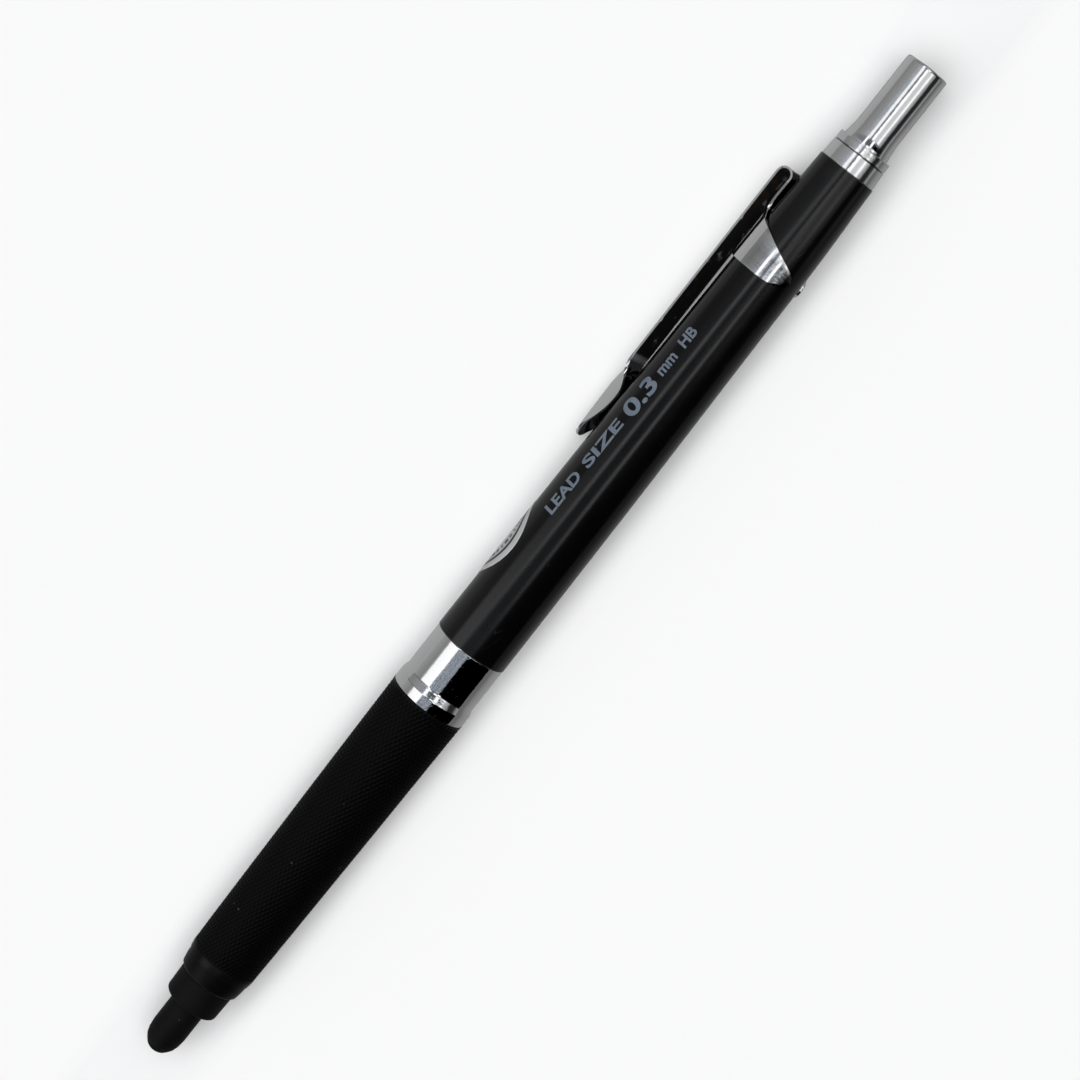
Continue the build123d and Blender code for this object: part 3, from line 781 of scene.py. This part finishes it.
clipSizes = {"halfWidth": 1.87, "thickness": 0.28, "edge": 0.11,
             "spoon": [(87.05, 5.95, 5.75), (88.7, 6.28, 5.30), (91.2, 6.42, 4.55), (93.0, 6.46, 4.27),
                       (94.3, 6.44, 4.40), (95.5, 6.26, 4.92), (96.5, 6.0, 5.56), (97.6, 5.84, 5.83)],
             "armFront": 97.4, "armHeight": 5.70, "foldX": 123.55, "foldHeight": 4.805, "fold": 0.905,
             "bandLow": 3.90, "wrapX": 118.0, "wrapRun": 3.4, "bandFront": 113.5, "bandRear": 119.8, "bandLift": 0.17,
             "bandSlope": 0.029, "earRear": 3.3, "cornerX": 3.2, "lean": 0.06, "sharpAngle": 50,
             "ear": [(113.5, -1.6), (113.6, -2.4), (113.8, -3.0), (114.2, -3.5), (114.6, -3.64), (115.0, -3.66),
                     (115.6, -3.47), (116.1, -2.9), (116.6, -2.0), (117.2, -0.8), (117.9, 0.65),
                     (118.5, 1.95), (119.1, 2.95), (119.8, 3.6)]}


def stationValue(stations, x, column):
    return readRun(smoothRun([(station[0], station[column]) for station in stations], 8), x)


def spoonRow(x, size, shares):
    start = size["spoon"][0][0]
    reach = min(1.0, (x - start) / size["cornerX"])
    half = size["halfWidth"] * math.sqrt(max(0.0, 1 - (1 - reach) ** 2))
    crown = stationValue(size["spoon"], x, 1)
    edge = stationValue(size["spoon"], x, 2)
    middle = size["thickness"] / 2
    row = []
    for share in shares:
        across = share * max(half, 0.05)
        row.append(at(x, crown - middle - (crown - edge) * (across / size["halfWidth"]) ** 2, across))
    return row


def bandRow(x, size, shares):  # flat strip by the fold, and wrapped round the barrel at the ears
    radius = barrelRadius(x) + size["bandLift"]
    flatHeight = size["bandLow"] + (size["foldX"] - x) * size["bandSlope"]
    if x > size["bandRear"]:
        halfArc = size["halfWidth"]
    else:
        lowest = stationValue(size["ear"], x, 1)
        halfArc = radius * math.acos(max(-1.0, min(1.0, lowest / radius)))
    wrap = 1 - min(1.0, max(0.0, (x - size["wrapX"]) / size["wrapRun"]))
    wrap = wrap * wrap * (3 - 2 * wrap)
    row = []
    for share in shares:
        arc = share * halfArc
        up = flatHeight * (1 - wrap) + radius * math.cos(arc / radius) * wrap
        side = arc * (1 - wrap) + radius * math.sin(arc / radius) * wrap
        row.append(at(x, up, side))
    return row


def armMiddle(x, size):  # the height of the arm's middle layer
    rise = (size["foldHeight"] + size["fold"] - size["armHeight"]) / (size["foldX"] - size["armFront"])
    return size["armHeight"] + rise * (x - size["armFront"])


def clipRows(size, shares):  # from the spoon along the arm, round the fold, and back to the front of the ears
    flat = [share * size["halfWidth"] for share in shares]
    start = size["spoon"][0][0]
    roundEnd = [0.01, 0.06, 0.15, 0.3, 0.5, 0.75, 1.05, 1.4, 1.8]  # rows crowd where the spoon's end is round
    spoonX = [start + x for x in roundEnd] + [start + 2.2 + 0.4 * i for i in range(20)]
    rows = [spoonRow(x, size, shares) for x in spoonX if x < size["armFront"]]
    armSteps, foldSteps = 24, 22
    for i in range(armSteps):
        x = size["armFront"] + (size["foldX"] - size["armFront"]) * i / armSteps
        rows.append([at(x, armMiddle(x, size), side) for side in flat])
    for i in range(foldSteps + 1):
        turn = math.pi * i / foldSteps
        x = size["foldX"] + size["fold"] * math.sin(turn)
        rows.append([at(x, size["foldHeight"] + size["fold"] * math.cos(turn), side) for side in flat])
    bandX = [size["foldX"] - 0.45 * i for i in range(1, 9)]
    bandX.append(size["bandRear"])
    rearSteps, tipSteps, crowding = 14, 20, 1.6
    bandX += [size["bandRear"] - size["earRear"] * i / rearSteps for i in range(1, rearSteps + 1)]
    tipRun = size["bandRear"] - size["earRear"] - size["bandFront"]
    bandX += [size["bandFront"] + tipRun * (1 - i / tipSteps) ** crowding for i in range(1, tipSteps + 1)]
    return rows + [bandRow(x, size, shares) for x in bandX]


def markHidden(mesh, size):  # the face of the arm that looks at the barrel and the inside of the fold, fully, and the arm's far edge at 0.7: where the clip finish paints shade and rust
    foldMiddle = Vector((size["foldX"], size["foldHeight"]))
    values = []
    for vert in mesh.vertices:
        offset = vert.co - Vector((tipX, axisY, axisZ))
        x = offset.x / mm
        up = offset.dot(clipUp) / mm
        armLine = armMiddle(x, size)
        onArm = x > size["armFront"] + 0.2 and armLine - 0.2 < up < armLine - 0.08
        inFold = x > size["foldX"] - 0.5 and (Vector((x, up)) - foldMiddle).length < 0.8
        farEdge = x > 99 and abs(up - armLine) < 0.2 and offset.dot(clipSide) / mm < 0.08 - size["halfWidth"]
        values.append(1.0 if onArm or inFold else 0.7 if farEdge else 0.0)
    mesh.attributes.new("hidden", "FLOAT", "POINT").data.foreach_set("value", values)


def makeClip(size):
    shares = [i / 16 - 1 for i in range(33)]
    bm = bmesh.new()
    grid = [[bm.verts.new(point) for point in row] for row in clipRows(size, shares)]
    for row, after in zip(grid, grid[1:]):
        for k in range(len(shares) - 1):
            bm.faces.new((row[k], row[k + 1], after[k + 1], after[k]))
    piece = meshPiece("clip_strip", bm, materials["clipChrome"])
    solid = piece.modifiers.new("thickness", "SOLIDIFY")
    solid.thickness = size["thickness"] * mm
    solid.offset = 0
    solid.use_even_offset = True
    bevel = piece.modifiers.new("rounded edges", "BEVEL")
    bevel.width = size["edge"] * mm
    bevel.segments = 4
    bevel.limit_method = "ANGLE"
    bevel.angle_limit = math.radians(size["sharpAngle"])
    keepModified(piece)
    markHidden(piece.data, size)
    smoothFaces(piece.data, size["sharpAngle"])
    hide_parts("clip_band", "clip_arm")
    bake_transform(piece)


makeClip(clipSizes)
print("clip folded")


# Print and label

printSizes = {"centre": 37.0, "lift": 0.012, "weight": 0.03, "strip": 0.18, "words": [
    ("LEAD", 79.1, 84.5, 1.5), ("SIZE", 85.6, 91.9, 1.5), ("0.3", 92.9, 97.7, 2.25), ("mm  HB", 98.6, 104.8, 1.5)]}


def textMesh(name, words, weight):
    curve = bpy.data.curves.new(name, "FONT")
    curve.body = words
    curve.size = 1.0
    curve.offset = weight
    curve.resolution_u = 6
    holder = linked(name, curve)
    mesh = evaluatedMesh(holder)
    bpy.data.objects.remove(holder)
    bpy.data.curves.remove(curve)
    return mesh


def sliced(bm, low, high, step):  # cuts flat art into strips so that it can bend round the barrel
    y = low
    while y < high:
        geometry = bm.verts[:] + bm.edges[:] + bm.faces[:]
        bmesh.ops.bisect_plane(bm, geom=geometry, plane_co=(0, y, 0), plane_no=(0, 1, 0))
        y += step


def makePrint(size):
    bm = bmesh.new()
    for i, (words, start, end, height) in enumerate(size["words"]):
        flat = textMesh(f"word{i}", words, size["weight"])
        xs = [v.co.x for v in flat.vertices]
        ys = [v.co.y for v in flat.vertices]
        stretch = (end - start) / (max(xs) - min(xs))
        tall = height / (max(ys) - min(ys))
        centred = Matrix.Translation((-min(xs), -(min(ys) + max(ys)) / 2, 0))
        flat.transform(Matrix.Diagonal((stretch, tall, 1, 1)) @ centred)
        flat.transform(Matrix.Translation((start, 0, 0)))
        bm.from_mesh(flat)
        bpy.data.meshes.remove(flat)
    bmesh.ops.remove_doubles(bm, verts=bm.verts, dist=0.002)
    tallest = max(word[3] for word in size["words"]) / 2
    sliced(bm, -tallest, tallest, size["strip"])
    centre = math.radians(size["centre"])
    for vert in bm.verts:
        radius = barrelRadius(vert.co.x) + size["lift"]
        vert.co = atAngle(vert.co.x, radius, centre + vert.co.y / radius)
    bmesh.ops.triangulate(bm, faces=bm.faces)
    piece = finishMesh("barrel_print", bm, materials["printSlate"])
    faceOutward(piece)
    return putInPlace(piece, "barrel_assembly", "barrel_black")


labelSizes = {"x": 73.3, "turn": 115.6, "radius": 5.5, "lift": 0.05, "rings": 22, "spokes": 96,
              "arcRadius": 4.55, "arcWidth": 0.42, "arcFrom": 25, "arcTo": 335, "marks": 26, "markRadius": 3.75,
              "markLength": 0.55, "markWidth": 0.2}


def onLabel(x, side, lift):
    size = labelSizes
    radius = barrelRadius(size["x"] + x) + lift
    return atAngle(size["x"] + x, radius, math.radians(size["turn"]) - side / radius)


def makeLabel(size):
    bm = bmesh.new()
    rings = [[bm.verts.new((0, 0, 0))]]
    for k in range(1, size["rings"] + 1):
        reach = size["radius"] * k / size["rings"]
        turns = [2 * math.pi * i / size["spokes"] for i in range(size["spokes"])]
        rings.append([bm.verts.new((reach * math.cos(t), reach * math.sin(t), 0)) for t in turns])
    for i in range(size["spokes"]):
        j = (i + 1) % size["spokes"]
        bm.faces.new((rings[0][0], rings[1][i], rings[1][j]))
        for ring, after in zip(rings[1:], rings[2:]):
            bm.faces.new((ring[i], after[i], after[j], ring[j]))
    top = bm.faces[:]
    made = bmesh.ops.extrude_face_region(bm, geom=top)
    low = {v for v in made["geom"] if isinstance(v, bmesh.types.BMVert)}
    for vert in bm.verts:
        vert.co = onLabel(vert.co.x, vert.co.y, 0.005 if vert in low else size["lift"])
    piece = finishMesh("foil_label_disc", bm, materials["labelFoil"])
    return putInPlace(piece, "barrel_assembly", "foil", "foil_label")


def makeLabelInk(size):  # a plain dark border and a row of short strokes inside it
    bm = bmesh.new()
    lift = size["lift"] + 0.008
    low, high = size["arcRadius"] - size["arcWidth"] / 2, size["arcRadius"] + size["arcWidth"] / 2

    def spot(radius, degrees):
        turn = math.radians(degrees)
        return bm.verts.new(onLabel(radius * math.cos(turn), radius * math.sin(turn), lift))

    steps = 120
    turns = [size["arcFrom"] + (size["arcTo"] - size["arcFrom"]) * i / steps for i in range(steps + 1)]
    inner, outer = [spot(low, turn) for turn in turns], [spot(high, turn) for turn in turns]
    for i in range(steps):
        bm.faces.new((inner[i], outer[i], outer[i + 1], inner[i + 1]))
    for i in range(size["marks"]):
        turn = turns[0] + (turns[-1] - turns[0]) * (i + 0.5) / size["marks"]
        half = math.degrees(size["markWidth"] / 2 / size["markRadius"]) * (1 + i % 3)
        reach = size["markLength"] / 2
        corners = [(-reach, -half), (reach, -half), (reach, half), (-reach, half)]
        bm.faces.new([spot(size["markRadius"] + out, turn + across) for out, across in corners])
    piece = finishMesh("foil_label_ink", bm, materials["labelInk"])
    faceOutward(piece)
    return putInPlace(piece, "barrel_assembly", "foil")


makePrint(printSizes)
makeLabel(labelSizes)
makeLabelInk(labelSizes)
print("print and label made")


# Finishes of the inner pieces, which keep their CAD shape

innerFinishes = {
    "linerBrass": ["grip_liner", "barrel_insert", "chuck_stem", "chuck_ring", "chuck_housing",
                   "chuck_jaw_1", "chuck_jaw_2", "chuck_jaw_3"],
    "drawnSteel": ["lead_sleeve", "eraser_ferrule", "cleaning_pin"],
    "leadGraphite": ["lead", "spare_leads"],
    "retainerRubber": ["lead_retainer"],
    "milkyPlastic": ["lead_tube"],
    "greyPlastic": ["tube_coupler"],
    "eraserWhite": ["eraser"],
}
for finish, names in innerFinishes.items():
    for name in names:
        mesh = frame["nodes"][name].data
        mesh.materials.clear()
        mesh.materials.append(materials[finish])
print("inner pieces painted")


# Studio
# The room is a set of long soft strips over the pencil. turn is the angle round the pencil from straight up,
# growing away from the clip; lean is the angle along it, growing towards the button.

studio = {
    "overTip": [(-180, 0.38), (-98, 0.36), (-92, 0.33), (-63, 0.23), (-59, 0.36), (-54, 1.1), (-25, 1.2),
                (-22, 0.24), (9, 0.26), (12, 0.0), (96, 0.0), (104, 0.14), (180, 0.28)],
    "overMiddle": [(-180, 0.36), (-117, 0.33), (-101, 0.24), (-92, 0.2), (-66, 0.14), (-52, 0.18), (-28, 0.18),
                   (-23.5, 1.6), (-19, 1.6), (-15, 0.1), (9, 0.1), (12.5, 1.6), (17, 1.6), (21, 0.04), (34, 0.0),
                   (96, 0.0), (180, 0.28)],
    "overButton": [(-180, 0.36), (-92, 0.25), (-80, 0.23), (-57, 0.28), (-36, 0.31), (-27, 0.4), (-22, 1.02),
                   (-13, 1.05), (-9, 0.2), (-3, 0.2), (0, 1.25), (8, 1.25), (11, 0.7), (21, 0.62), (29, 0.75),
                   (32, 1.1), (38, 1.1), (42, 0.5), (52, 0.3), (59, 0.02), (75, 0.02), (84, 0.26), (102, 0.34),
                   (180, 0.36)],
    "tipEdge": (-11.5, -8.0), "buttonEdge": (-1.6, 0.6), "farEdge": (13.0, 16.0), "endEdge": (35.0, 50.0),
    "coolTint": (0.80, 0.88, 1.0, 1), "backdrop": 0.93, "edgeScale": 26.0, "edgeWander": 0.06,
    "crumpleScale": 110.0, "crumple": (0.45, 0.6, 0.3, 3.0), "dimTones": (0.3, 0.6), "overhead": (0.5, 0.9),
    "keyPower": 13.5, "keySize": 1.5, "keyPlace": (0, 0.05, 1.1), "floor": 0.8, "floorSize": 3.0, "floorRough": 0.9,
    "floorLift": 0.97, "floorShare": 0.55, "floorShade": (5.2, 7.5),
    # floor tones seen in reflections, by distance across from the pencil's axis: a painted contact shadow near the axis
    "floorMirror": [(-0.030, 0.14), (-0.0062, 0.30), (-0.0046, 0.26), (-0.0036, 0.02), (0.0034, 0.015),
                    (0.0046, 0.36), (0.0070, 0.39), (0.030, 0.36)],
}


def toneRamp(tree, share, stops):  # stops are (place from 0 to 1, grey)
    ramp = tree.nodes.new("ShaderNodeValToRGB")
    elements = ramp.color_ramp.elements
    for i, (place, value) in enumerate(stops):
        element = elements[i] if i < 2 else elements.new(place)
        element.position = place
        element.color = (value, value, value, 1)
    tree.links.new(share, ramp.inputs[0])
    return ramp.outputs[0]


def roomRamp(tree, share, stops):
    return toneRamp(tree, share, [((degrees + 180) / 360, tone) for degrees, tone in stops])


def makeWorld(look):
    world = bpy.data.worlds.new("studioRoom")
    world.use_nodes = True
    tree = world.node_tree
    tree.nodes.clear()
    direction = addNode(tree, "ShaderNodeTexCoord").outputs["Generated"]
    parts = axes(tree, direction)
    turn = maths(tree, "ARCTAN2", times(tree, parts[1], -1.0), parts[2])
    lean = times(tree, maths(tree, "ARCSINE", parts[0]), 180 / math.pi)
    ragged = maths(tree, "SUBTRACT", noise(tree, direction, look["edgeScale"], 4.0), 0.5)
    wander = weighted(tree, turn, (ragged, look["edgeWander"]))
    share = remap(tree, wander, -math.pi, math.pi)
    middle = roomRamp(tree, share, look["overMiddle"])
    button = roomRamp(tree, share, look["overButton"])
    colour = roomRamp(tree, share, look["overTip"])
    for edge, beyond in (("tipEdge", middle), ("buttonEdge", button), ("farEdge", middle), ("endEdge", button)):
        colour = mixColours(tree, remap(tree, lean, *look[edge], kind="SMOOTHSTEP"), colour, beyond)
    shade = remap(tree, noise(tree, direction, look["crumpleScale"], 4.0, 0.65), *look["crumple"])
    grey = addNode(tree, "ShaderNodeRGBToBW", {0: colour}).outputs[0]
    dim = remap(tree, grey, *look["dimTones"], 1.0, 0.0)
    overhead = remap(tree, maths(tree, "ABSOLUTE", turn), *look["overhead"], 1.0, 0.0)
    rough = times(tree, dim, overhead)
    shade = weighted(tree, 1.0, (maths(tree, "SUBTRACT", shade, 1.0), rough))
    tint = mixColours(tree, rough, (1, 1, 1, 1), look["coolTint"])
    lit = addNode(tree, "ShaderNodeMix", {0: 1.0, 6: colour, 7: tint}, data_type="RGBA",
                  blend_type="MULTIPLY").outputs[2]
    room = addNode(tree, "ShaderNodeBackground", {"Color": lit, "Strength": shade})
    plain = addNode(tree, "ShaderNodeBackground", {"Color": (1, 1, 1, 1), "Strength": look["backdrop"]})
    seen = addNode(tree, "ShaderNodeLightPath").outputs["Is Camera Ray"]
    both = addNode(tree, "ShaderNodeMixShader", {0: seen, 1: room.outputs[0], 2: plain.outputs[0]})
    sink = tree.nodes.new("ShaderNodeOutputWorld")
    tree.links.new(both.outputs[0], sink.inputs["Surface"])
    bpy.context.scene.world = world


def makeFloor(look):
    half = look["floorSize"] / 2
    bm = bmesh.new()
    corners = ((-half, -half), (half, -half), (half, half), (-half, half))
    bm.faces.new([bm.verts.new((x, y, cadBounds[0].z)) for x, y in corners])
    material, tree, shader, position = newMaterial("paleFloor")
    pale = [look["floor"]] * 3
    colour = mixColours(tree, noise(tree, position, 40.0, 3.0), shaded(pale, 0.99), (*pale, 1))
    tree.links.new(colour, shader.inputs["Base Color"])
    shader.inputs["Roughness"].default_value = look["floorRough"]
    shader.inputs["Specular IOR Level"].default_value = 0.0
    across = axes(tree, position)[1]
    # reflections see the floor as a painted glow: grey floor tone with a painted contact shadow, near black close
    # beside the pencil
    low, high = look["floorMirror"][0][0], look["floorMirror"][-1][0]
    share = remap(tree, across, axisY + low, axisY + high)
    mirroredFloorAndShadowTone = toneRamp(tree, share, [((y - low) / (high - low), tone) for y, tone in look["floorMirror"]])
    glow = addNode(tree, "ShaderNodeEmission", {"Color": mirroredFloorAndShadowTone})
    path = addNode(tree, "ShaderNodeLightPath").outputs
    both = addNode(tree, "ShaderNodeMixShader", {0: path["Is Glossy Ray"], 1: shader.outputs[0], 2: glow.outputs[0]})
    lift = addNode(tree, "ShaderNodeEmission", {"Color": (1, 1, 1, 1), "Strength": look["floorLift"]})
    away = maths(tree, "ABSOLUTE", maths(tree, "SUBTRACT", across, axisY))
    near, far = look["floorShade"]
    clear = remap(tree, away, near * mm, far * mm, 0.0, look["floorShare"])  # left to the lights beside the pencil
    seen = times(tree, path["Is Camera Ray"], clear)
    shown = addNode(tree, "ShaderNodeMixShader", {0: seen, 1: both.outputs[0], 2: lift.outputs[0]})
    tree.links.new(shown.outputs[0], tree.nodes["Material Output"].inputs["Surface"])
    finishMesh("floor", bm, material)


def makeKey(look):
    light = bpy.data.lights.new("softKey", "AREA")
    light.shape = "DISK"
    light.size = look["keySize"]
    light.energy = look["keyPower"]
    key = linked("softKey", light)
    key.location = look["keyPlace"]
    key.visible_glossy = False


cameraView = {"lens": 90.0, "alongFromTip": 128.1, "aside": 1.37, "height": 296.4, "tilt": 10.08, "slant": 51.74}


def makeCamera(look):
    tilt = math.radians(look["tilt"])
    slant = math.radians(look["slant"])
    along = Vector((math.cos(tilt) * math.cos(slant), -math.cos(tilt) * math.sin(slant), -math.sin(tilt)))
    up = -(Vector((0, 0, 1)) + along * math.sin(tilt)) / math.cos(tilt)
    side = up.cross(along)
    camera = bpy.data.cameras.new("camera")
    camera.lens = look["lens"]
    camera.sensor_width = 36
    camera.clip_start = 0.01
    camera.clip_end = 20
    turned = Matrix(((along.x, -along.y, -along.z), (side.x, -side.y, -side.z), (up.x, -up.y, -up.z)))
    place = Vector((tipX + look["alongFromTip"] * mm, axisY + look["aside"] * mm, axisZ + look["height"] * mm))
    holder = linked("camera", camera)
    holder.matrix_world = Matrix.Translation(place) @ turned.to_4x4()
    bpy.context.scene.camera = holder


makeWorld(studio)
makeFloor(studio)
makeKey(studio)
makeCamera(cameraView)
bpy.context.scene.view_settings.view_transform = "Standard"
print("studio set")
